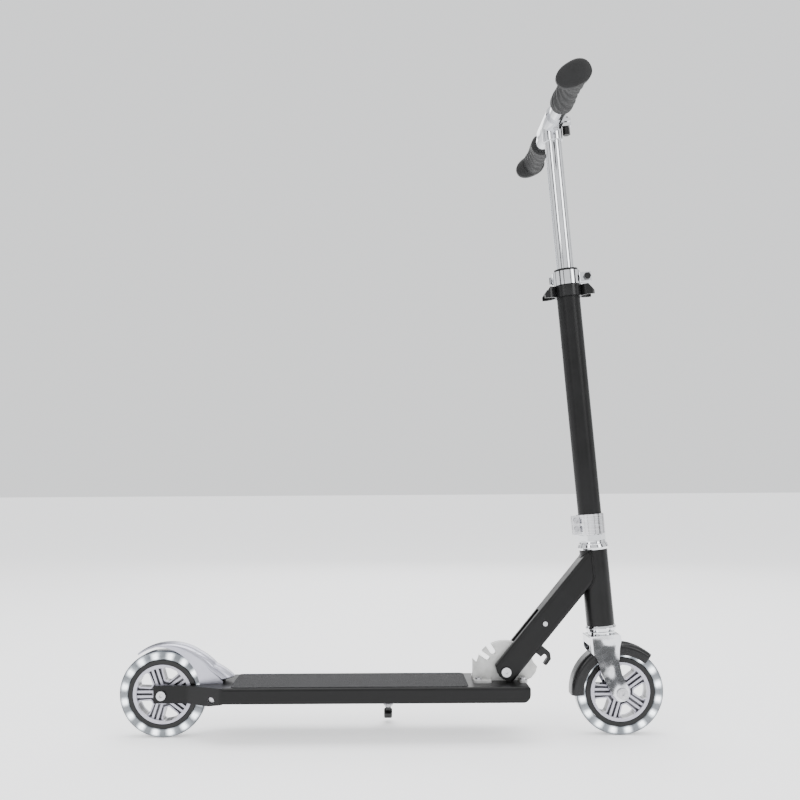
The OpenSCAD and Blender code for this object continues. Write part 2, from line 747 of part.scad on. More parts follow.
module headset_cones() color(CHROME) {
    on_steer(cone_s) cone();
    on_steer(crown_s1) tube(head_d - 1, steerer_d, head_s0 - cup_h - gap - crown_s1);
}

module lock_washer() color(CHROME)
    on_steer(cone_s + cone_h) tube(steerer_d + 7, steerer_d, washer_t);

module headset_nut() color(CHROME)
    on_steer(nut_s) difference() {
        cylinder(d = steerer_d + 9, h = nut_h, $fn = 6);
        translate([0, 0, -1]) cylinder(d = steerer_d, h = nut_h + 2);
    }

module front_axle() color(SILVER) on_front() axle(fork_out, 15);
module front_axle_spacers() color(SILVER) on_front() axle_spacers(fork_in);

// Fender skirt: a curved band over the tyre with two skirts beside it
module front_fender() color(DARK)
    difference() {
        union() {
            on_front() {
                rotate([90, 0, 0]) rotate_extrude(angle = 134, start = 50, $fn = 96)
                    polygon([[fender_r, -fork_in + 5.6], [fender_r, fork_in - 5.6],
                        [fender_r - 3.5, fork_in - 1.6], [wheel_r - 9, fork_in - 1.6],
                        [wheel_r - 9, fork_in - 3.4], [wheel_r + 1.5, fork_in - 3.4],
                        [fender_r - fender_t, fork_in - 6.5],
                        [fender_r - fender_t, -fork_in + 6.5], [wheel_r + 1.5, -fork_in + 3.4],
                        [wheel_r - 9, -fork_in + 3.4], [wheel_r - 9, -fork_in + 1.6],
                        [fender_r - 3.5, -fork_in + 1.6]]);
            }
            on_steer(sqrt(pow(fender_r - 2, 2) - pow(fork_offset, 2)))
                cylinder(d = 15, h = crown_s0 - sqrt(pow(fender_r - 2, 2) - pow(fork_offset, 2)));
        }
        on_steer() cylinder(d = 6.2, h = crown_s1);
    }

screw_seat = 2.5;
fender_in_s = sqrt(pow(fender_r - fender_t, 2) - pow(fork_offset, 2));

module fender_screw() color(SILVER)
    on_steer(fender_in_s - screw_seat) {
        cylinder(d = 6, h = crown_s0 + 8 - fender_in_s + screw_seat);
        cylinder(d = 8.4, h = 1.6);
    }

ear_x = column_d / 2 + 4.2;
ear_bolt_x = -ear_x - 1;
ear_bolt_z = [collar_h / 2 - 6, collar_h / 2 + 6];
collar_d = column_d + 5.4;

module clamp_collar() color(SILVER)
    on_steer(collar_s0) difference() {
        union() {
            cylinder(d = collar_d, h = collar_h);
            translate([-ear_x, 0, collar_h / 2]) cube([11, 16, collar_h - 1.5], center = true);
        }
        translate([0, 0, -1]) cylinder(d = column_d, h = collar_h + 2);
        translate([-ear_x - 16, -1.2, -1]) cube([30, 2.4, collar_h + 2]);
        for (z = ear_bolt_z) y_rod(ear_bolt_x, z, 5, -20, 20);
    }

module collar_bolts() color(CHROME)
    on_steer(collar_s0) for (z = ear_bolt_z)
        difference() {
            union() {
                y_rod(ear_bolt_x, z, 5, -8, 8);
                y_rod(ear_bolt_x, z, 8.5, -12, -8);
                y_rod(ear_bolt_x, z, 8.5, 8, 11);
            }
            translate([ear_bolt_x, -13, z]) rotate([-90, 0, 0]) cylinder(d = 4.6, h = 3.5, $fn = 6);
        }

module column() color(BLACK)
    on_steer(column_s0) difference() {
        cylinder(d = column_d, h = column_l);
        translate([0, 0, -1]) cylinder(d = steerer_d, h = column_l + 2);
        translate([-column_d, 0, key_s - column_s0]) rotate([0, 90, 0])
            cylinder(d = key_d, h = column_d);
        // Relief slot under the quick clamp
        translate([0, -1, column_l - 32]) cube([column_d, 2, 40]);
    }

key_tip = upper_d / 2 - groove_depth + 0.5;

module key_screw() color(SILVER)
    on_steer(key_s) rotate([0, -90, 0]) {
        translate([0, 0, key_tip]) cylinder(d = key_d, h = column_d / 2 - key_tip + 0.2);
        translate([0, 0, column_d / 2 + 0.2]) cylinder(d = 5, h = 1.2);
    }

// Plastic collar whose two clips hold the bars once they are pulled out of the sleeve
module clip_collar() color("#1b1b1c")
    on_steer(clip_s0) difference() {
        union() {
            cylinder(d = clip_d, h = clip_h);
            for (m = [0, 1]) mirror([m, 0, 0]) translate([clip_x, 0, 0]) intersection() {
                cylinder(d = clip_bore + 2 * clip_wall, h = clip_h);
                side_plate(60) polygon([[-30, 0], [5, 0], [5, 5], [-3, clip_h], [-30, clip_h]]);
            }
        }
        translate([0, 0, -1]) cylinder(d = column_d, h = clip_h + 2);
        for (x = [-clip_x, clip_x]) translate([x, 0, -1]) cylinder(d = clip_bore, h = clip_h + 2);
    }

module sleeve_bush() color("#1b1b1c")
    on_steer(column_s1 - 40) difference() {
        union() {
            cylinder(d = steerer_d, h = 40);
            translate([0, 0, 40]) cylinder(d = column_d + 1, h = bush_rim);
        }
        translate([0, 0, -1]) cylinder(d = upper_d + 2 * run, h = 45);
    }

quick_x = clamp_d / 2 + 8;
quick_t = 3;

module quick_clamp() color(CHROME)
    on_steer(clamp_s0) difference() {
        union() {
            cylinder(d = clamp_d, h = clamp_h);
            translate([clamp_d / 2 - 4, -8, 3]) cube([18, 16, clamp_h - 6]);
        }
        translate([0, 0, -1]) cylinder(d = column_d, h = clamp_h + 2);
        translate([0, -1.5, -1]) cube([clamp_d, 3, clamp_h + 2]);
        y_rod(quick_x, clamp_h / 2, 5, -20, 20);
    }

// Nut, bolt and the upright barrel that the lever turns on
module quick_bolt() color(DARK)
    on_steer(clamp_s0) {
        y_rod(quick_x, clamp_h / 2, 5, -12.5, 12);
        translate([quick_x, -8, clamp_h / 2]) rotate([90, 0, 0]) cylinder(d = 10, h = 4.5, $fn = 6);
        translate([quick_x, 14, clamp_h / 2 - 6]) cylinder(d = 5, h = 12);
    }

lever_r = clamp_d / 2 + 1.6;

module quick_lever() color(CHROME)
    on_steer(clamp_s0 + clamp_h / 2) difference() {
        union() {
            translate([quick_x, 14, -6]) cylinder(d = 11, h = 12);
            translate([0, 0, -5]) linear_extrude(height = 10) polygon(concat(
                arc(lever_r + 3, 36, 168, 20), [[-lever_r - 2, 2]], arc(lever_r, 172, 38, 20)));
            translate([0, 0, -5]) linear_extrude(height = 10) polygon([
                [quick_x - 2, 18.5], [quick_x - 5, 10.5], [lever_r * cos(45), lever_r * sin(45)],
                [(lever_r + 3) * cos(55), (lever_r + 3) * sin(55)]]);
        }
        translate([quick_x, 14, -10]) cylinder(d = 5 + 2 * run, h = 20);
        // Room for the bolt over the lever's whole swing, from -Y round past +X
        translate([quick_x, 14, -3.2]) linear_extrude(height = 6.4)
            polygon([[-4, -14], [12, -14], [12, 7.9], [-1.2, 3.1], [-4, 0]]);
    }

// ---- handlebar. In on_bar(), the origin is the middle of the T sleeve

module upper_tube() color(CHROME)
    on_bar() difference() {
        translate([0, 0, -upper_show - upper_in])
            cylinder(d = upper_d, h = upper_show + upper_in - sleeve_d / 2 + 1);
        translate([0, 0, -upper_show - upper_in - 1])
            cylinder(d = upper_d - 4.4, h = upper_show + upper_in + 1);
        translate([-upper_d / 2 - 1, -key_d / 2 - 0.3, -upper_show - upper_in + groove_end])
            cube([1 + groove_depth, key_d + 0.6, upper_show + upper_in - groove_end - 40]);
    }

module t_sleeve() color(CHROME)
    on_bar() difference() {
        union() {
            y_rod(0, 0, sleeve_d, -sleeve_l / 2, sleeve_l / 2);
            translate([0, 0, -sleeve_d / 2 - socket_h + 2])
                cylinder(d = upper_d + 4.5, h = sleeve_d / 2 + socket_h - 2);
            translate([sleeve_d / 2 - 4, -7, -5.5]) cube([16, 14, 11]);
        }
        y_rod(0, 0, bar_d + 2 * run, -sleeve_l, sleeve_l);
        translate([0, 0, -sleeve_d / 2 - socket_h]) cylinder(d = upper_d, h = socket_h + 1);
        translate([bar_d / 2 - 2, -sleeve_l, -0.9]) cube([40, 2 * sleeve_l, 1.8]);
        translate([sleeve_d / 2 + 6, 0, -20]) cylinder(d = 5, h = 40);
        for (y = [-button_y, button_y])
            translate([0, y, -sleeve_d]) cylinder(d = button_d + 0.5, h = sleeve_d);
    }

module pinch_bolt() color(DARK)
    on_bar() translate([sleeve_d / 2 + 6, 0, 0]) {
        translate([0, 0, -16]) cylinder(d = 5, h = 22);
        translate([0, 0, 5.5]) cylinder(d = 8.5, h = 3);
        translate([0, 0, -16.5]) cylinder(d = 10.5, h = 11, $fn = 6);
    }

module bar() difference() {
    y_rod(0, 0, bar_d, 4, bar_w / 2 - 5);
    y_rod(0, 0, bar_d - 3.6, 3, bar_w);
    translate([0, button_y, -bar_d]) cylinder(d = button_d + 0.5, h = bar_d);
}

module grip() difference() {
    union() {
        translate([0, bar_w / 2 - 10, 0]) rotate([90, 0, 0]) rotate_extrude($fn = 64) polygon([
            [0, 0], [18, 0], [15.5, 8], [15.6, 22], [14.2, 40], [14.2, 60], [15.6, 78],
            [15.8, grip_l - 10], [0, grip_l - 10]]);
        translate([0, bar_w / 2, 0]) rotate([90, 0, 0]) linear_extrude(height = 11)
            rotate(28) polygon(box_pts(-27, -16, 20, 16, 15));
    }
    y_rod(0, 0, bar_d, 0, bar_w / 2 - 4);
}

module bar_left() color(CHROME) on_bar() bar();
module bar_right() color(CHROME) on_bar() mirror([0, 1, 0]) bar();
module grip_left() color("#303033") on_bar() grip();
module grip_right() color("#303033") on_bar() mirror([0, 1, 0]) grip();

// Snap button with the spring leaf that carries it inside the bar
module button() translate([0, button_y, 0]) {
    translate([0, 0, -sleeve_d / 2 - 1.5]) cylinder(d = button_d, h = 7);
    translate([-2.5, -5, -sleeve_d / 2 + 5.4]) cube([5, 22, 1]);
}

module button_left() color(SILVER) on_bar() button();
module button_right() color(SILVER) on_bar() mirror([0, 1, 0]) button();

deck();
grip_tape();
rear_fork();
fold_block();
fold_block_screws();
fold_bolt();
rear_axle();
rear_axle_spacers();
brake_pin();
brake_spring();
stand_bracket();
stand_pin();
stand_spring();
rear_fender();
kickstand();
stand_foot();
rear_hub();
rear_bearings();
rear_lamp_carrier();
rear_lamps();
rear_tyre();
front_hub();
front_bearings();
front_lamp_carrier();
front_lamps();
front_tyre();
down_tube();
fold_bushes();
head_tube();
headset_cups();
lock_pin();
lock_spring();
lock_slider();
fork();
steerer();
headset_cones();
lock_washer();
headset_nut();
front_axle();
front_axle_spacers();
front_fender();
fender_screw();
clamp_collar();
collar_bolts();
column();
key_screw();
clip_collar();
sleeve_bush();
quick_clamp();
quick_bolt();
quick_lever();
upper_tube();
t_sleeve();
pinch_bolt();
bar_left();
bar_right();
grip_left();
grip_right();
button_left();
button_right();
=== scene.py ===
# %% [markdown]
# # A folding kick scooter
# The shapes with real sizes come from the CAD model. This file gives them their finishes, and
# replaces the few pieces whose real form is softer than a machined solid: the pressed brake
# fender, the moulded front fender, the rubber grips and the cast clear tyres.
# Everything is in metres: +X runs to the front wheel, +Y to the rider's left, +Z up.

# %% Load the frame
import json
import math

import bmesh
import bpy
import numpy as np
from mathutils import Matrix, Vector


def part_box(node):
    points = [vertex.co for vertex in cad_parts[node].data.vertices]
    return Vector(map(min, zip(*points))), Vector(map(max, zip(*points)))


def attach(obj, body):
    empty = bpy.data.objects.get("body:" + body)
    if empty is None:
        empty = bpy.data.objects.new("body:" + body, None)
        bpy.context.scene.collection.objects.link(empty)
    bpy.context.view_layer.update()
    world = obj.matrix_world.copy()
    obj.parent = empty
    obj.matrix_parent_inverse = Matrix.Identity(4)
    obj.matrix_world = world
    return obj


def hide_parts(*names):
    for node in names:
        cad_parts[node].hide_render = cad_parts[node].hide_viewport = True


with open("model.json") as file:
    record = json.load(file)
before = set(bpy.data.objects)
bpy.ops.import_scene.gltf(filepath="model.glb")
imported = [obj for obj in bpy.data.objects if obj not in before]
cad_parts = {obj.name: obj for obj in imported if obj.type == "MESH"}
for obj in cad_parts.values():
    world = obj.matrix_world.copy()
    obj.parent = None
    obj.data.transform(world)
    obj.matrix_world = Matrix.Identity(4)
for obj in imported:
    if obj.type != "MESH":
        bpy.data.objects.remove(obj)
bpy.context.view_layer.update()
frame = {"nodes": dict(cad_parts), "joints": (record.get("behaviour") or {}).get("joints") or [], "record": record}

nodes = frame["nodes"]

# %% [markdown]
# ## Camera
# The scooter is seen square from its right side, from low down. The framing could be done by
# tilting the camera alone, but that leans the upright lines. Shifting the lens keeps them
# upright, and too much shift would push the wheels out of other views, so each does a part.

# %% Camera
camera_data = bpy.data.cameras.new("camera")
camera_data.sensor_width = 36
camera_data.lens = 42.15
camera_data.shift_x = 0.0281
camera_data.shift_y = 0.090
camera = bpy.data.objects.new("camera", camera_data)
camera.location = (-0.0138, -1.3045, 0.3467)
camera.rotation_euler = (math.pi / 2 + 0.0137, 0.0063, 0.0026)
bpy.context.scene.collection.objects.link(camera)
bpy.context.scene.camera = camera
print("camera", tuple(camera.location))

# %% [markdown]
# ## Studio
# Chrome shows what stands around it, and in an all-white room it looks like white paint. So the
# light comes from large soft panels and a pale sky, and a ring of narrow dark cards stands
# round the scooter. Only reflections can see the cards, so they draw the edge lines along the
# tubes and cast no shadow. A picture of a real room would do the same, but numbers are easier
# to correct.

# %% Floor, world and lights
def pale_floor(size=60.0):
    """One flat square at Z = 0 in a pale paint that glows a little."""
    mesh = bpy.data.meshes.new("floor")
    h = size / 2
    mesh.from_pydata([(-h, -h, 0), (h, -h, 0), (h, h, 0), (-h, h, 0)], [], [(0, 1, 2, 3)])
    floor = bpy.data.objects.new("floor", mesh)
    bpy.context.scene.collection.objects.link(floor)
    mat = bpy.data.materials.new("pale_floor")
    mat.use_nodes = True
    shader = mat.node_tree.nodes["Principled BSDF"]
    shader.inputs["Base Color"].default_value = (0.95, 0.95, 0.96, 1)
    shader.inputs["Roughness"].default_value = 0.8
    shader.inputs["Emission Color"].default_value = (1, 1, 1, 1)
    shader.inputs["Emission Strength"].default_value = 0.55
    mesh.materials.append(mat)
    return floor


def reflected_card(name, corners):
    """A flat dark card through four corners, that only reflections can see."""
    mesh = bpy.data.meshes.new(name)
    mesh.from_pydata([tuple(c) for c in corners], [], [(0, 1, 2, 3)])
    card = bpy.data.objects.new(name, mesh)
    bpy.context.scene.collection.objects.link(card)
    mat = bpy.data.materials.new("dark_card")
    mat.use_nodes = True
    shader = mat.node_tree.nodes["Principled BSDF"]
    shader.inputs["Base Color"].default_value = (0.01, 0.01, 0.01, 1)
    mesh.materials.append(mat)
    card.visible_camera = card.visible_diffuse = card.visible_shadow = False
    card.visible_transmission = False
    return card


def upright_card(turn, width, high=2.2, distance=2.4):
    """A card that stands at an angle round the scooter, in degrees from the front."""
    a = math.radians(turn)
    out, side = Vector((math.cos(a), math.sin(a), 0)), Vector((-math.sin(a), math.cos(a), 0))
    corners = [out * distance + side * (u * width / 2) + Vector((0, 0, z))
               for u, z in ((-1, 0), (1, 0), (1, high), (-1, high))]
    return reflected_card(f"dark_card_{turn}", corners)


def lying_card(name, side):
    """A card on the floor beside the front wheel, that the fork's flat sides reflect."""
    outline = ((0.34, 0.34), (0.40, 0.34), (0.50, 0.72), (0.40, 0.72))
    return reflected_card(name, [(x, side * y, 0.002) for x, y in outline])


def panel(name, place, aim, size, power):
    """A rectangular soft light at place, turned to face aim."""
    data = bpy.data.lights.new(name, "AREA")
    data.shape = "RECTANGLE"
    data.size, data.size_y = size
    data.energy = power
    lamp = bpy.data.objects.new(name, data)
    lamp.location = place
    lamp.rotation_euler = (Vector(aim) - Vector(place)).to_track_quat("-Z", "Y").to_euler()
    bpy.context.scene.collection.objects.link(lamp)
    return lamp


pale_floor()
world = bpy.data.worlds.new("studio")
world.use_nodes = True
sky = world.node_tree.nodes["Background"]
sky.inputs["Color"].default_value = (0.96, 0.97, 0.98, 1)
sky.inputs["Strength"].default_value = 1.25
bpy.context.scene.world = world
panel("front_left", (-1.6, -2.0, 1.9), (0, 0, 0.4), (1.2, 1.6), 22)
panel("front_right", (1.8, -1.7, 1.6), (0.1, 0, 0.4), (0.8, 1.8), 18)
panel("overhead", (0, 0.2, 2.6), (0, 0, 0.3), (2.4, 1.6), 55)
panel("behind", (0.3, 2.4, 1.4), (0, 0, 0.4), (2.0, 1.4), 20)
for turn, width in ((-152, 0.55), (-118, 0.30), (-62, 0.22), (-24, 0.5), (22, 0.3), (64, 0.4),
                    (118, 0.4), (158, 0.3)):
    upright_card(turn, width)
lying_card("dark_card_right", -1)
lying_card("dark_card_left", 1)
print("studio ready")

# %% [markdown]
# ## Tools for finishes
# Every finish starts from the same shader and adds small changes of colour, gloss and height.
# An image wrapped round each piece could give these, but it would need unwrapping and would
# stretch. Noise read in Object coordinates keeps its real size on every piece.

# %% Finish helpers
def new_finish(name, colour, metal=0.0, rough=0.5):
    """A shader with its plain values set on its own sockets, and a point to read patterns from."""
    mat = bpy.data.materials.new(name)
    mat.use_nodes = True
    tree = mat.node_tree
    shader = tree.nodes["Principled BSDF"]
    shader.inputs["Base Color"].default_value = (*colour, 1)
    shader.inputs["Metallic"].default_value = metal
    shader.inputs["Roughness"].default_value = rough
    where = tree.nodes.new("ShaderNodeTexCoord").outputs["Object"]
    return mat, tree, shader, where


def stretched(tree, where, scale, centre=(0, 0, 0)):
    """The same point, moved so that centre is its middle, then scaled along each axis."""
    node = tree.nodes.new("ShaderNodeMapping")
    node.inputs["Location"].default_value = [-c * s for c, s in zip(centre, scale)]
    node.inputs["Scale"].default_value = scale
    tree.links.new(where, node.inputs["Vector"])
    return node.outputs["Vector"]


def speckle(tree, where, scale, detail=3.0, rough=0.55):
    """Cloudy noise from 0 to 1. Scale is in patches per metre."""
    node = tree.nodes.new("ShaderNodeTexNoise")
    node.inputs["Scale"].default_value = scale
    node.inputs["Detail"].default_value = detail
    node.inputs["Roughness"].default_value = rough
    tree.links.new(where, node.inputs["Vector"])
    return node.outputs["Fac"]


def spread(tree, value, low, high, start=0.3, end=0.7):
    """Value carried from start..end to low..high."""
    node = tree.nodes.new("ShaderNodeMapRange")
    node.inputs["From Min"].default_value = start
    node.inputs["From Max"].default_value = end
    node.inputs["To Min"].default_value = low
    node.inputs["To Max"].default_value = high
    tree.links.new(value, node.inputs["Value"])
    return node.outputs["Result"]


def two_tone(tree, value, dark, light, start=0.35, end=0.65):
    """A colour that runs from dark to light as value rises."""
    node = tree.nodes.new("ShaderNodeValToRGB")
    node.color_ramp.elements[0].position = start
    node.color_ramp.elements[0].color = (*dark, 1)
    node.color_ramp.elements[1].position = end
    node.color_ramp.elements[1].color = (*light, 1)
    tree.links.new(value, node.inputs["Fac"])
    return node.outputs["Color"]


def relief(tree, shader, height, depth, strength=1.0):
    """Raises the surface by height times depth, in metres."""
    node = tree.nodes.new("ShaderNodeBump")
    node.inputs["Distance"].default_value = depth
    node.inputs["Strength"].default_value = strength
    tree.links.new(height, node.inputs["Height"])
    tree.links.new(node.outputs["Normal"], shader.inputs["Normal"])


def calc(tree, operation, a, b=None):
    """One step of arithmetic. Each side is a number or another step's result."""
    node = tree.nodes.new("ShaderNodeMath")
    node.operation = operation
    for socket, value in zip(node.inputs, (a, b)):
        if value is None:
            continue
        if isinstance(value, (int, float)):
            socket.default_value = value
        else:
            tree.links.new(value, socket)
    return node.outputs[0]


print("finish helpers ready")

# %% [markdown]
# ## Powder coat
# The deck, the rear fork and the black tubes are coated with powder that melts in an oven, so
# the skin has a faint orange-peel swell. One flat black would look like a hole. A slow noise
# changes the gloss and a fine one makes the peel, which is all the eye can tell.

# %% Powder coat
def powder_coat(name, tone):
    """Satin black: slow changes of gloss over a fine orange peel."""
    mat, tree, shader, where = new_finish(name, (tone, tone, tone * 1.05), 0.0, 0.36)
    slow = speckle(tree, where, 24)
    tree.links.new(two_tone(tree, slow, (tone * 0.8,) * 3, (tone * 1.25, tone * 1.25, tone * 1.32)),
                   shader.inputs["Base Color"])
    tree.links.new(spread(tree, slow, 0.30, 0.42), shader.inputs["Roughness"])
    relief(tree, shader, speckle(tree, where, 900, 2), 0.00006, 0.5)
    shader.inputs["Specular IOR Level"].default_value = 0.24
    return mat


print("powder coat ready")

# %% [markdown]
# ## Grip tape
# The tape on the deck is film packed with sharp grains. The grains could be real shapes, but
# there are far too many of them, so a very fine noise lightens them singly and raises them.

# %% Grip tape
def grit_film():
    """Deck tape: dark film, packed with grains that catch the light singly."""
    mat, tree, shader, where = new_finish("grit_film", (0.01, 0.01, 0.011), 0.0, 0.85)
    grains = speckle(tree, where, 2600, 1)
    tree.links.new(two_tone(tree, grains, (0.005, 0.005, 0.006), (0.085, 0.085, 0.09), 0.5, 0.74),
                   shader.inputs["Base Color"])
    relief(tree, shader, grains, 0.0005, 0.9)
    return mat


print("grip tape ready")

# %% [markdown]
# ## Sand-blasted casting
# The notched fold block is cast and then blasted, which leaves a dull, sandy skin. Its grains
# are too small to model, so the height comes from noise and the colour is slightly cloudy.

# %% Sand-blasted casting
def sand_cast():
    """Blasted casting: metal with a sandy skin and slightly cloudy colour."""
    mat, tree, shader, where = new_finish("sand_cast", (0.6, 0.6, 0.6), 0.85, 0.5)
    cloudy = speckle(tree, where, 60)
    tree.links.new(two_tone(tree, cloudy, (0.44, 0.44, 0.43), (0.64, 0.64, 0.63)),
                   shader.inputs["Base Color"])
    tree.links.new(spread(tree, cloudy, 0.42, 0.56), shader.inputs["Roughness"])
    relief(tree, shader, speckle(tree, where, 1100, 3), 0.00018, 0.7)
    return mat


print("sand casting ready")

# %% [markdown]
# ## Brushed, plated and turned metal
# The pressed fender, the bolts and the collar all carry fine scratches in one direction. A
# shader can bend its highlight to show that, but it needs a map to know the direction. Noise
# drawn out along one axis needs none.

# %% Brushed, plated and turned metal
def brushed(name, dark, light, scale, rough=0.3):
    """Sheet or turned metal: noise drawn out into long scratches."""
    mat, tree, shader, where = new_finish(name, light, 1.0, rough)
    scratches = speckle(tree, stretched(tree, where, scale), 1.0, 4, 0.7)
    tree.links.new(two_tone(tree, scratches, dark, light), shader.inputs["Base Color"])
    tree.links.new(spread(tree, scratches, rough - 0.07, rough + 0.08), shader.inputs["Roughness"])
    relief(tree, shader, scratches, 0.00003, 0.5)
    return mat


print("brushed metal ready")

# %% [markdown]
# ## Chrome
# The upper tube and the small rings are chromed, and almost a mirror. The look comes from what
# stands round it, so the finish only adds a little haze, as hands leave.

# %% Chrome
def mirror_chrome():
    """Chrome: a mirror whose gloss drops a little in hazy patches."""
    mat, tree, shader, where = new_finish("mirror_chrome", (0.76, 0.77, 0.79), 1.0, 0.05)
    haze = speckle(tree, where, 38, 4)
    tree.links.new(two_tone(tree, haze, (0.70, 0.71, 0.73), (0.80, 0.81, 0.83)),
                   shader.inputs["Base Color"])
    tree.links.new(spread(tree, haze, 0.03, 0.09), shader.inputs["Roughness"])
    return mat


print("chrome ready")

# %% [markdown]
# ## Chrome over a casting
# The fork and the T sleeve are polished by hand before they are chromed, so their faces are
# not quite flat. The waves could be modelled, but only the reflections show them, so a slow
# swell in the height is enough. The same swell also paints soft dark and light shapes into the
# chrome's colour, as a painted reflection.

# %% Chrome over a casting
def chromed_casting():
    """Chrome over a polished casting or forging: the same mirror, but the metal under it is
    gently wavy, so flat faces gather soft dark and light shapes, partly from the bump and partly
    as a painted reflection in the colour."""
    mat, tree, shader, where = new_finish("chromed_casting", (0.74, 0.75, 0.77), 1.0, 0.06)
    swell = speckle(tree, where, 22, 1, 0.4)
    # Painted reflection: the colour darkens and lightens with the swell, like dark and light shapes reflected in
    # wavy chrome.
    tree.links.new(two_tone(tree, swell, (0.62, 0.63, 0.66), (0.80, 0.81, 0.83)),
                   shader.inputs["Base Color"])
    tree.links.new(spread(tree, speckle(tree, where, 120), 0.04, 0.10), shader.inputs["Roughness"])
    relief(tree, shader, swell, 0.0030)
    return mat


print("chromed casting ready")

# %% [markdown]
# ## Painted wheel core
# The spoked core is painted silver. The floor between its ribs is darkened with painted shade,
# as the shade in those recesses would be. The dark part could be a piece of its own, but the core
# is one casting. Distance from the wheel's middle plane tells the floor from the rib tops, so
# that chooses where the painted shade goes.

# %% Painted wheel core
def silver_core():
    """Painted wheel core: silver with a lilac cast and fine metal flake. The floor between the ribs
    carries painted shade: the colour runs from dark at 5.5 mm from the wheel's middle plane to
    silver at 7.8 mm."""
    mat, tree, shader, where = new_finish("silver_core", (0.5, 0.49, 0.55), 0.55, 0.34)
    flake = speckle(tree, where, 3800, 1)
    split = tree.nodes.new("ShaderNodeSeparateXYZ")
    tree.links.new(where, split.inputs[0])
    # Painted shade: nearer the middle plane, on the floor between the ribs, the colour goes dark.
    face = spread(tree, calc(tree, "ABSOLUTE", split.outputs["Y"]), 0.12, 1.0, 0.0055, 0.0078)
    tone = calc(tree, "MULTIPLY", face, spread(tree, flake, 0.82, 1.0))
    tree.links.new(two_tone(tree, tone, (0.03, 0.03, 0.035), (0.50, 0.49, 0.56), 0.05, 1.0),
                   shader.inputs["Base Color"])
    tree.links.new(spread(tree, speckle(tree, where, 90), 0.28, 0.40), shader.inputs["Roughness"])
    shader.inputs["Coat Weight"].default_value = 0.4
    shader.inputs["Coat Roughness"].default_value = 0.12
    return mat


print("wheel core ready")

# %% [markdown]
# ## Moulded plastic and rubber
# The clip, the lever, the foot and the grips are moulded, and the mould's grain shows. One
# finish with its own tone, gloss and grain for each does for all of them.

# %% Moulded plastic and rubber
def moulded(name, tone, rough, grain=1400, depth=0.00008):
    """Moulded plastic or rubber: an even dark colour with a spark-eroded grain."""
    mat, tree, shader, where = new_finish(name, (tone, tone, tone * 1.04), 0.0, rough)
    slow = speckle(tree, where, 45)
    tree.links.new(two_tone(tree, slow, (tone * 0.82,) * 3, (tone * 1.2, tone * 1.2, tone * 1.26)),
                   shader.inputs["Base Color"])
    tree.links.new(spread(tree, slow, rough - 0.05, rough + 0.07), shader.inputs["Roughness"])
    relief(tree, shader, speckle(tree, where, grain, 2), depth, 0.6)
    shader.inputs["Specular IOR Level"].default_value = 0.34
    return mat


print("moulded plastic ready")

# %% [markdown]
# ## One finish for each material
# Each CAD piece names its material, and this table gives every such name one finish. Keeping
# them in one place makes two pieces of one material look alike.

# %% Table of finishes
finishes = {
    "black_alloy": powder_coat("black_alloy", 0.004),
    "black_paint": powder_coat("black_paint", 0.005),
    "grip_tape": grit_film(),
    "cast_aluminium": sand_cast(),
    "fender_aluminium": brushed("fender_sheet", (0.40, 0.40, 0.47), (0.55, 0.55, 0.62),
                                (18, 700, 18), 0.30),
    "zinc_steel": brushed("zinc_plate", (0.46, 0.46, 0.48), (0.64, 0.64, 0.66),
                          (260, 60, 260), 0.28),
    "chrome": mirror_chrome(),
    "polished_aluminium": brushed("polished_collar", (0.56, 0.56, 0.58), (0.76, 0.76, 0.78),
                                  (40, 40, 900), 0.18),
    "hub_silver": silver_core(),
    "carrier_black": moulded("carrier_black", 0.004, 0.16, 600, 0.00003),
    "black_plastic": moulded("black_plastic", 0.007, 0.24),
    "black_steel": moulded("black_steel", 0.006, 0.34, 900, 0.00004),
    "foot_rubber": moulded("foot_rubber", 0.007, 0.6),
    "grip_rubber": moulded("grip_rubber", 0.008, 0.5, 1700, 0.0001),
}
casting = chromed_casting()
CASTINGS = ("fork", "t_sleeve")  # polished by hand under their chrome
print(len(finishes) + 1, "finishes")

# %% [markdown]
# ## Lamps and clear tyres
# Each wheel is lit from inside. The tyre is clear cast rubber, so each lamp shows as a soft
# white patch in it, with cooler, darker rubber between. Light could be traced through the
# rubber, but that is slow and grainy. The patches are worked out from the angle about the
# axle instead, one for each lamp, and fade towards the tread.

# %% Lamps and tyres
LAMPS = 16
TYRE_WIDTH = 0.024
# Depths below the tread: a lamp's patch starts, is full, fades and ends, going outwards.
PATCH_STARTS, PATCH_FULL, PATCH_FADES, PATCH_ENDS = 0.0135, 0.0095, 0.0045, 0.0008
# Depths below the tread between which the rubber darkens to a line of painted shade.
EDGE_STARTS, EDGE_ENDS = 0.0022, 0.0006


def wheel_centre(side):
    """The middle of a wheel, from its tyre's box."""
    low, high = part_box(f"{side}_tyre")
    return (low + high) / 2


def tyre_radius(side):
    """Half the height of a tyre's box."""
    low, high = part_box(f"{side}_tyre")
    return (high.z - low.z) / 2


def lamp_lens():
    """A lit lamp: bright, with a cooler rim from a slow noise."""
    mat, tree, shader, where = new_finish("lamp_lens", (0.9, 0.95, 1.0), 0.0, 0.15)
    tree.links.new(two_tone(tree, speckle(tree, where, 500), (0.80, 0.90, 1.0), (1, 1, 1)),
                   shader.inputs["Emission Color"])
    shader.inputs["Emission Strength"].default_value = 2.2
    return mat


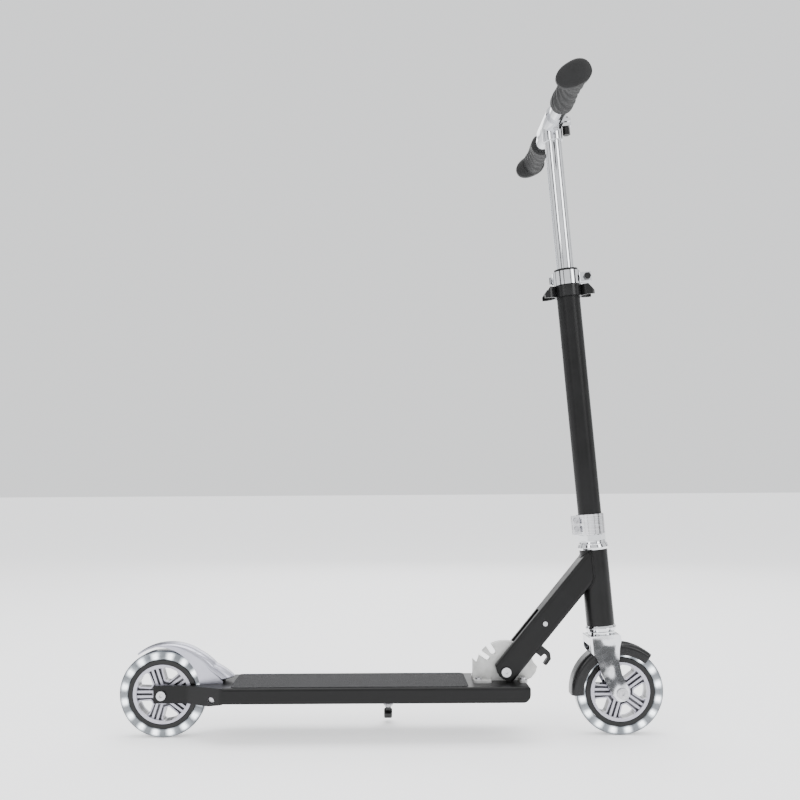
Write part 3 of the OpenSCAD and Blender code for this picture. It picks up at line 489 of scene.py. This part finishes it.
def clear_cast(side):
    """Clear tyre: patch = how near the angle about the axle is to a lamp, times how near the
    radius is to the lamps' own. The patch is lighter, and shines a little."""
    mat, tree, shader, where = new_finish(f"clear_cast_{side}", (0.6, 0.66, 0.74), 0.0, 0.1)
    local = stretched(tree, where, (1, 1, 1), wheel_centre(side))
    split = tree.nodes.new("ShaderNodeSeparateXYZ")
    tree.links.new(local, split.inputs[0])
    x, z = split.outputs["X"], split.outputs["Z"]
    turn = calc(tree, "MULTIPLY", calc(tree, "ARCTAN2", x, z), LAMPS / (2 * math.pi))
    near = calc(tree, "ABSOLUTE", calc(tree, "SUBTRACT", calc(tree, "FRACT", turn), 0.5))
    reach = calc(tree, "SQRT", calc(tree, "ADD", calc(tree, "MULTIPLY", x, x),
                                    calc(tree, "MULTIPLY", z, z)))
    outer = tyre_radius(side)
    radial = calc(tree, "MULTIPLY",
                  spread(tree, reach, 0.0, 1.0, outer - PATCH_STARTS, outer - PATCH_FULL),
                  spread(tree, reach, 1.0, 0.0, outer - PATCH_FADES, outer - PATCH_ENDS))
    patch = calc(tree, "MULTIPLY", spread(tree, near, 1.0, 0.0, 0.08, 0.36), radial)
    cloudy = calc(tree, "MULTIPLY", patch, spread(tree, speckle(tree, where, 420), 0.8, 1.0))
    # Painted shade: the colour darkens towards the tread, as the rim of a clear tyre looks dark.
    edge = spread(tree, reach, 1.0, 0.25, outer - EDGE_STARTS, outer - EDGE_ENDS)
    lit = calc(tree, "ADD", calc(tree, "MULTIPLY", cloudy, 0.75), 0.25)
    body = calc(tree, "MULTIPLY", lit, edge)
    tree.links.new(two_tone(tree, body, (0.02, 0.024, 0.03), (0.80, 0.86, 0.92), 0.05, 0.95),
                   shader.inputs["Base Color"])
    tree.links.new(two_tone(tree, cloudy, (0.08, 0.10, 0.12), (0.94, 0.98, 1.0), 0.02, 0.8),
                   shader.inputs["Emission Color"])
    tree.links.new(spread(tree, cloudy, 0.03, 2.6, 0.05, 0.95), shader.inputs["Emission Strength"])
    tree.links.new(spread(tree, speckle(tree, where, 160), 0.05, 0.12), shader.inputs["Roughness"])
    shader.inputs["Transmission Weight"].default_value = 0.25
    shader.inputs["IOR"].default_value = 1.46
    shader.inputs["Coat Weight"].default_value = 0.5
    shader.inputs["Coat Roughness"].default_value = 0.05
    return mat


finishes["lamp"] = lamp_lens()
clear_tyres = {side: clear_cast(side) for side in ("rear", "front")}
print("tyre radius", round(tyre_radius("front"), 4))

# %% [markdown]
# ## Finish the CAD pieces
# Each CAD piece names a material slot in its record, and takes the finish of that name. The
# finish could be set piece by piece, but the record already knows it. Tyres differ, because
# their pattern turns about their own axle, and the castings have a chrome of their own.

# %% Give every CAD piece its finish
def wear(piece, mat):
    """Puts one material on the whole piece."""
    piece.data.materials.clear()
    piece.data.materials.append(mat)


slot_of = {s["node"]: s["material_slot"] for s in frame["record"]["subparts"]}
for name, piece in nodes.items():
    if slot_of[name] == "clear_urethane":
        wear(piece, clear_tyres[name.split("_")[0]])
    elif name in CASTINGS:
        wear(piece, casting)
    else:
        wear(piece, finishes[slot_of[name]])
print(len(nodes), "CAD pieces finished")

# %% [markdown]
# ## Surfaces from numbers
# A new piece is a grid of points worked out as whole arrays. Rows follow one direction and
# columns the other, and a grid can close on itself either way or be capped at its ends. A
# shape could be pushed about by hand instead, but numbers can be read and corrected later.

# %% Grid to mesh
def surface(name, points, body, mat, wrap_rows=False, wrap_columns=False, caps=False):
    """A mesh from points[row, column]. Neighbouring points make four-sided faces. wrap_rows joins
    the last row to the first, wrap_columns the last column to the first, and caps closes the
    two end rows with one face each."""
    rows, columns = points.shape[:2]
    r = np.arange(rows if wrap_rows else rows - 1)
    c = np.arange(columns if wrap_columns else columns - 1)
    rr, cc = np.meshgrid(r, c, indexing="ij")
    r2, c2 = (rr + 1) % rows, (cc + 1) % columns
    faces = np.stack([rr * columns + cc, r2 * columns + cc, r2 * columns + c2,
                      rr * columns + c2], -1).reshape(-1, 4).tolist()
    if caps:
        faces += [list(range(columns)), list(range((rows - 1) * columns, rows * columns))]
    mesh = bpy.data.meshes.new(name)
    mesh.from_pydata(points.reshape(-1, 3).tolist(), [], faces)
    shape = bmesh.new()
    shape.from_mesh(mesh)
    bmesh.ops.remove_doubles(shape, verts=shape.verts, dist=1e-6)
    bmesh.ops.recalc_face_normals(shape, faces=shape.faces)
    shape.to_mesh(mesh)
    shape.free()
    mesh.polygons.foreach_set("use_smooth", np.ones(len(mesh.polygons), bool))
    piece = bpy.data.objects.new(name, mesh)
    bpy.context.scene.collection.objects.link(piece)
    wear(piece, mat)
    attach(piece, body)
    print(name, len(mesh.polygons), "faces")
    return piece


def soft_corners(outline, radius, steps=6):
    """A closed outline with each corner replaced by a curve: points of the quadratic curve whose
    ends lie radius away from the corner along both sides, or at most 45 % of the side."""
    p = np.asarray(outline, float)
    before, after = np.roll(p, 1, 0) - p, np.roll(p, -1, 0) - p
    lb, la = np.linalg.norm(before, axis=1), np.linalg.norm(after, axis=1)
    start = p + before * (np.minimum(radius, 0.45 * lb) / lb)[:, None]
    end = p + after * (np.minimum(radius, 0.45 * la) / la)[:, None]
    t = np.linspace(0, 1, steps)[None, :, None]
    curve = (1 - t) ** 2 * start[:, None] + 2 * t * (1 - t) * p[:, None] + t ** 2 * end[:, None]
    return curve.reshape(-1, 2)


def crisp(piece, angle=35):
    """Keeps edges sharper than the angle sharp, and the rest smooth."""
    shape = bmesh.new()
    shape.from_mesh(piece.data)
    for e in shape.edges:
        if len(e.link_faces) == 2 and e.calc_face_angle(0) > math.radians(angle):
            e.smooth = False
    shape.to_mesh(piece.data)
    shape.free()


print("surface helpers ready")

# %% [markdown]
# ## Brake fender
# The real fender is pressed from sheet: a dome over the wheel that opens into a broad nose,
# where the heel pushes. A flat sheet could be bent over a lattice, but its edge would be hard
# to place. Here one curve gives the crown's radius about the axle at each angle and another
# the edge's, and a rounded section joins them across the wheel.

# %% Brake fender
FENDER_SHEET = 0.0016  # thickness of the pressed sheet


def brake_fender():
    """Point(angle, side) = centre + radius * (cos angle, sin angle), at y = side * half width.
    Radius runs from the edge's to the crown's as (1 - |side|^2.6)^0.5, so the section is a
    flattened dome. The sheet's thickness goes inside that."""
    centre = wheel_centre("rear")
    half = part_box("rear_fender")[1].y - 0.0002
    angle = np.radians(np.linspace(121, 13.5, 90))
    crown_at = ([13.5, 29, 49, 65, 88, 104, 121],
                [0.1008, 0.0840, 0.0773, 0.0744, 0.0704, 0.0680, 0.0659])
    edge_at = ([11, 25, 49, 83, 104, 121], [0.0860, 0.0745, 0.0688, 0.0668, 0.0652, 0.0645])
    degrees = np.degrees(angle)
    crown = np.interp(degrees, *crown_at)
    edge = np.minimum(np.interp(degrees, *edge_at), crown - 0.0008)
    side = np.sin(np.linspace(-math.pi / 2, math.pi / 2, 33))
    bulge = (1 - np.abs(side) ** 2.6) ** 0.5
    radius = edge[:, None] + (crown - edge)[:, None] * bulge[None, :]
    points = np.stack([centre.x + radius * np.cos(angle)[:, None],
                       np.broadcast_to(side * half, radius.shape),
                       centre.z + radius * np.sin(angle)[:, None]], -1)
    shell = surface("brake_fender_shell", points, "brake", finishes["fender_aluminium"])
    wall = shell.modifiers.new("wall", "SOLIDIFY")
    wall.thickness = FENDER_SHEET
    wall.offset = -1
    return shell


fender_shell = brake_fender()

# %% [markdown]
# ## Side walls of the brake fender
# The fender's sides are folded down beside the tyre. They could be part of the dome's grid, but
# its faces would smear round the bend. A thin box section, carried round the axle between two
# curves of its own, keeps the fold crisp.

# %% Fender side walls
def fender_wall(sign):
    """Point(angle, corner) = centre + radius * (cos angle, sin angle). At each angle the wall's
    section is a box as thick as the sheet, from the inner curve's radius to the edge's."""
    centre = wheel_centre("rear")
    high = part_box("rear_fender")[1]
    degrees = np.linspace(96, 11.5, 60)
    inner = np.interp(degrees, [11.5, 20, 35, 50, 65, 75, 85, 96],
                      np.array([53.0, 54.0, 56.0, 58.2, 60.8, 62.6, 64.4, 65.4]) / 1000)
    edge = np.interp(degrees, [11, 25, 49, 83, 104],
                     np.array([86.0, 74.8, 69.1, 67.0, 66.2]) / 1000)
    near = high.y - 0.0004
    far = near - FENDER_SHEET
    radius = np.stack([inner, edge, edge, inner], -1)
    y = sign * np.array([near, near, far, far])
    angle = np.radians(degrees)[:, None]
    points = np.stack([centre.x + radius * np.cos(angle), np.broadcast_to(y, radius.shape),
                       centre.z + radius * np.sin(angle)], -1)
    wall = surface(f"brake_wall_{'left' if sign > 0 else 'right'}", points, "brake",
                   finishes["fender_aluminium"], wrap_columns=True, caps=True)
    crisp(wall)
    return wall


for sign in (1, -1):
    fender_wall(sign)

# %% [markdown]
# ## Ears of the brake fender
# At the front, each side runs down to a flat ear that turns on the brake pin. A hole could be
# cut for the pin, but the pin fills it, so a closed plate with a round foot shows the same.

# %% Fender lugs
EYE_RADIUS = 0.0063  # round foot of an ear, about the pin


def fender_lug(sign):
    """One side ear, from the wall down to the pin: a closed outline as thick as the sheet. Its
    foot is the circle pin + eye radius * (cos angle, sin angle)."""
    centre = wheel_centre("rear")
    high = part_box("rear_fender")[1]
    pin_low, pin_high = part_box("brake_pin")
    pin = (pin_low + pin_high) / 2
    a = np.radians(np.linspace(15, -195, 22))
    eye = np.stack([pin.x + EYE_RADIUS * np.cos(a), pin.z + EYE_RADIUS * np.sin(a)], -1)
    top = np.array([[centre.x + 0.0540, centre.z + 0.0120], [centre.x + 0.0838, centre.z + 0.0172]])
    outline = np.concatenate([top, eye])
    y = sign * (high.y - np.array([0.0020, 0.0004]))
    ring = np.stack([np.stack([outline[:, 0], np.full(len(outline), v), outline[:, 1]], -1)
                     for v in y])
    lug = surface(f"brake_lug_{'left' if sign > 0 else 'right'}", ring, "brake",
                  finishes["fender_aluminium"], wrap_columns=True, caps=True)
    crisp(lug)
    return lug


for sign in (1, -1):
    fender_lug(sign)
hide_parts("rear_fender")

# %% [markdown]
# ## Front fender
# This one is moulded: a smooth arch with a skirt at each side. It could be a bent sheet given
# a thickness, but its skirts would then need a fold of their own. So its section is one closed
# loop with soft corners, carried round the wheel's centre.

# %% Front fender
def front_fender():
    """Point(angle, loop) = centre + loop radius * (cos angle, sin angle), at the loop's y. The
    loop is the section's outline with its corners softened."""
    centre = wheel_centre("front")
    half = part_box("front_fender")[1].y
    wheel = tyre_radius("front")
    outer = wheel + 0.007
    section = [(outer, -half + 0.005), (outer, half - 0.005), (outer - 0.004, half),
               (wheel - 0.009, half), (wheel - 0.009, half - 0.0018),
               (wheel + 0.0015, half - 0.0018),
               (outer - 0.003, half - 0.0055), (outer - 0.003, -half + 0.0055),
               (wheel + 0.0015, -half + 0.0018), (wheel - 0.009, -half + 0.0018),
               (wheel - 0.009, -half), (outer - 0.004, -half)]
    loop = soft_corners(section, 0.0035)
    angle = np.radians(np.linspace(50, 184, 84))
    radius = np.broadcast_to(loop[:, 0], (len(angle), len(loop)))
    points = np.stack([centre.x + radius * np.cos(angle)[:, None],
                       np.broadcast_to(loop[:, 1], radius.shape),
                       centre.z + radius * np.sin(angle)[:, None]], -1)
    return surface("front_fender_skin", points, "steering", finishes["black_plastic"],
                   wrap_columns=True, caps=True)


front_skin = front_fender()

# %% [markdown]
# ## Boss of the front fender
# The arch is screwed up under the fork's crown, and a short round foot fills the gap. It could
# be a plain cylinder, but a moulding flares where it joins the arch, so it is a turned profile
# along the steering axis.

# %% Boss that seats the front fender under the fork crown
COLUMN_LEAN = math.radians(5.1)


def fender_boss():
    """Point(height, turn) = foot + height * up + radius * (cos turn * across + sin turn * Y). The
    radius is 7.2 mm at the crown and 9.2 mm where it runs into the arch."""
    low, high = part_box("fender_screw")
    up = np.array([-math.sin(COLUMN_LEAN), 0, math.cos(COLUMN_LEAN)])
    across = np.array([math.cos(COLUMN_LEAN), 0, math.sin(COLUMN_LEAN)])
    top = np.array([*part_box("front_fender")[1]])
    screw = (low + high) / 2
    height = np.array([-0.0075, -0.0045, -0.003, -0.0005, 0.0])
    radius = np.array([0.0092, 0.0080, 0.0074, 0.0075, 0.0072])
    base = np.array([screw.x, 0, screw.z])
    lift = (top[2] - base[2]) / up[2]
    turn = np.linspace(0, 2 * math.pi, 48, endpoint=False)
    points = (base + (lift + height)[:, None, None] * up
              + radius[:, None, None] * (np.cos(turn)[None, :, None] * across
                                         + np.sin(turn)[None, :, None] * np.array([0, 1, 0])))
    return surface("front_fender_boss", points, "steering", finishes["black_plastic"],
                   wrap_columns=True, caps=True)


fender_boss()
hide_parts("front_fender")

# %% [markdown]
# ## Grips
# Soft rubber sleeves with slanting ribs and an oval guard at the outer end. The ribs could be
# bump in the finish, but they show against the light at the grip's outline. So they are a wave
# in the radius that advances round the bar as it goes along, which makes them slant.

# %% Grips
RIBS_ROUND = 6
RIB_PITCH = 0.016
RIB_HEIGHT = 0.00055


def grip(side):
    """Point(along, turn) = bar axis + radius * direction. Radius = the turned profile, plus the
    rib wave in the middle stretch, blended into an oval guard near the outer end."""
    sign = 1 if side == "left" else -1
    low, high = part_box(f"grip_{side}")
    bar_low, bar_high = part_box(f"bar_{side}")
    axis_x, axis_z = (bar_low.x + bar_high.x) / 2, (bar_low.z + bar_high.z) / 2
    outer, inner = (high.y, low.y) if sign > 0 else (-low.y, -high.y)
    length = outer - inner
    profile_at = np.array([0, 0.001, 0.003, 0.009, 0.011, 0.014, 0.022, 0.034, 0.050, 0.068,
                           0.084, length - 0.0015, length])
    profile = np.array([11.5, 14.2, 16.0, 16.2, 15.6, 15.0, 15.4, 14.2, 13.9, 14.3,
                        15.5, 15.6, 12.0]) / 1000
    along = np.concatenate([np.linspace(0, 0.016, 26), np.linspace(0.0165, length, 130)])
    turn = np.linspace(0, 2 * math.pi, 96, endpoint=False)
    a, t = np.meshgrid(along, turn, indexing="ij")
    radius = np.interp(a, profile_at, profile)
    middle = np.clip((a - 0.020) / 0.006, 0, 1) * np.clip((length - 0.010 - a) / 0.006, 0, 1)
    wave = np.clip(np.sin(RIBS_ROUND * t * sign + a * 2 * math.pi / RIB_PITCH) * 1.6, -1, 1)
    radius = radius + RIB_HEIGHT * middle * wave
    guard = np.clip(np.minimum(a / 0.0015, (0.011 - a) / 0.0035), 0, 1) ** 0.6
    slant = math.radians(28)
    u, v = np.cos(t - slant), np.sin(t - slant)
    long_half = np.where(u < 0, 0.0266, 0.0196)
    oval = ((np.abs(u) / long_half) ** 2.3 + (np.abs(v) / 0.0157) ** 2.3) ** (-1 / 2.3)
    radius = radius + (np.maximum(oval, radius) - radius) * guard
    points = np.stack([axis_x + radius * np.cos(t), sign * (outer - a),
                       axis_z + radius * np.sin(t)], -1)
    piece = surface(f"rubber_grip_{side}", points, "handlebar", finishes["grip_rubber"],
                    wrap_columns=True, caps=True)
    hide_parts(f"grip_{side}")
    return piece


for side in ("left", "right"):
    grip(side)

# %% [markdown]
# ## Tyres
# The clear tyre is cast in one piece, with round shoulders and a flat tread. A Screw or a Spin
# could turn its section, but can leave a seam. Here the grid closes on itself both ways.

# %% Tyres
def clear_tyre(side):
    """Point(turn, loop) = centre + loop radius * (cos turn, sin turn), at the loop's y. The loop
    is the section with its shoulders softened."""
    centre = wheel_centre(side)
    outer = tyre_radius(side)
    low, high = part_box(f"{side}_lamp_carrier")
    inner = (high.z - low.z) / 2
    half = TYRE_WIDTH / 2
    section = [(inner + 0.0002, -half), (inner + 0.005, -half), (outer, -half + 0.0022),
               (outer, half - 0.0022), (inner + 0.005, half), (inner + 0.0002, half)]
    loop = soft_corners(section, 0.0024, 9)
    turn = np.linspace(0, 2 * math.pi, 160, endpoint=False)
    radius = np.broadcast_to(loop[:, 0], (len(turn), len(loop)))
    points = np.stack([centre.x + radius * np.cos(turn)[:, None],
                       np.broadcast_to(loop[:, 1], radius.shape),
                       centre.z + radius * np.sin(turn)[:, None]], -1)
    piece = surface(f"clear_tyre_{side}", points, f"{side}_wheel", clear_tyres[side],
                    wrap_rows=True, wrap_columns=True)
    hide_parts(f"{side}_tyre")
    return piece


for side in ("rear", "front"):
    clear_tyre(side)

# %% [markdown]
# ## Weld bead
# The down tube is welded to the head tube. The bead is a thin roll that follows the line where
# the two meet, rising and falling a little as the welder's hand did. The line could be found by
# cutting one tube with the other, but it has a formula, which needs no clean-up afterwards.

# %% Weld bead
DOWN_TUBE_SLOPE = math.radians(50.58)
DOWN_TUBE_HALF = (0.018, 0.01635)  # across the scooter, and square to the tube's length
HEAD_TUBE_RADIUS = 0.019
BEAD_RADIUS = 0.0014


def weld_bead():
    """The seam is the down tube's rectangle carried along its own direction to the head tube's
    cylinder: for a point at (side, height) of the rectangle, the distance to the cylinder solves
    a quadratic. The bead is a roll round that closed line, and its radius ripples along it."""
    joints = {j["name"]: j for j in frame["joints"]}
    up = np.array(joints["steer"]["axis"], float)
    up /= np.linalg.norm(up)
    foot = np.array(joints["steer"]["pos_m"], float)
    fold = np.array(joints["fold"]["pos_m"], float)
    run = np.array([math.cos(DOWN_TUBE_SLOPE), 0, math.sin(DOWN_TUBE_SLOPE)])
    rise = np.array([-run[2], 0, run[0]])
    w, h = DOWN_TUBE_HALF
    outline = soft_corners([(-w, -h), (w, -h), (w, h), (-w, h)], 0.005, 10)
    sides = np.concatenate([np.linspace(a, b, 12, endpoint=False)
                            for a, b in zip(outline, np.roll(outline, -1, 0))])
    base = fold + sides[:, :1] * np.array([0, 1, 0]) + sides[:, 1:] * rise
    rel = base - foot
    flat_run = run - (run @ up) * up
    flat_rel = rel - (rel @ up)[:, None] * up
    a = flat_run @ flat_run
    b = 2 * flat_rel @ flat_run
    c = (flat_rel ** 2).sum(1) - HEAD_TUBE_RADIUS ** 2
    reach = (-b - np.sqrt(np.maximum(b * b - 4 * a * c, 0))) / (2 * a)
    line = base + reach[:, None] * run
    along = np.roll(line, -2, 0) - np.roll(line, 2, 0)
    along /= np.linalg.norm(along, axis=1)[:, None]
    out = flat_rel + reach[:, None] * flat_run
    out /= np.linalg.norm(out, axis=1)[:, None]
    other = np.cross(along, out)
    n = np.arange(len(line))
    size = BEAD_RADIUS + 0.0002 * np.sin(n * 2 * math.pi / 7)
    turn = np.linspace(0, 2 * math.pi, 10, endpoint=False)
    points = (line[:, None] + size[:, None, None] * (np.cos(turn)[None, :, None] * out[:, None]
              + np.sin(turn)[None, :, None] * other[:, None]))
    return surface("weld_bead", points, "neck", finishes["black_paint"],
                   wrap_rows=True, wrap_columns=True)


weld_bead()
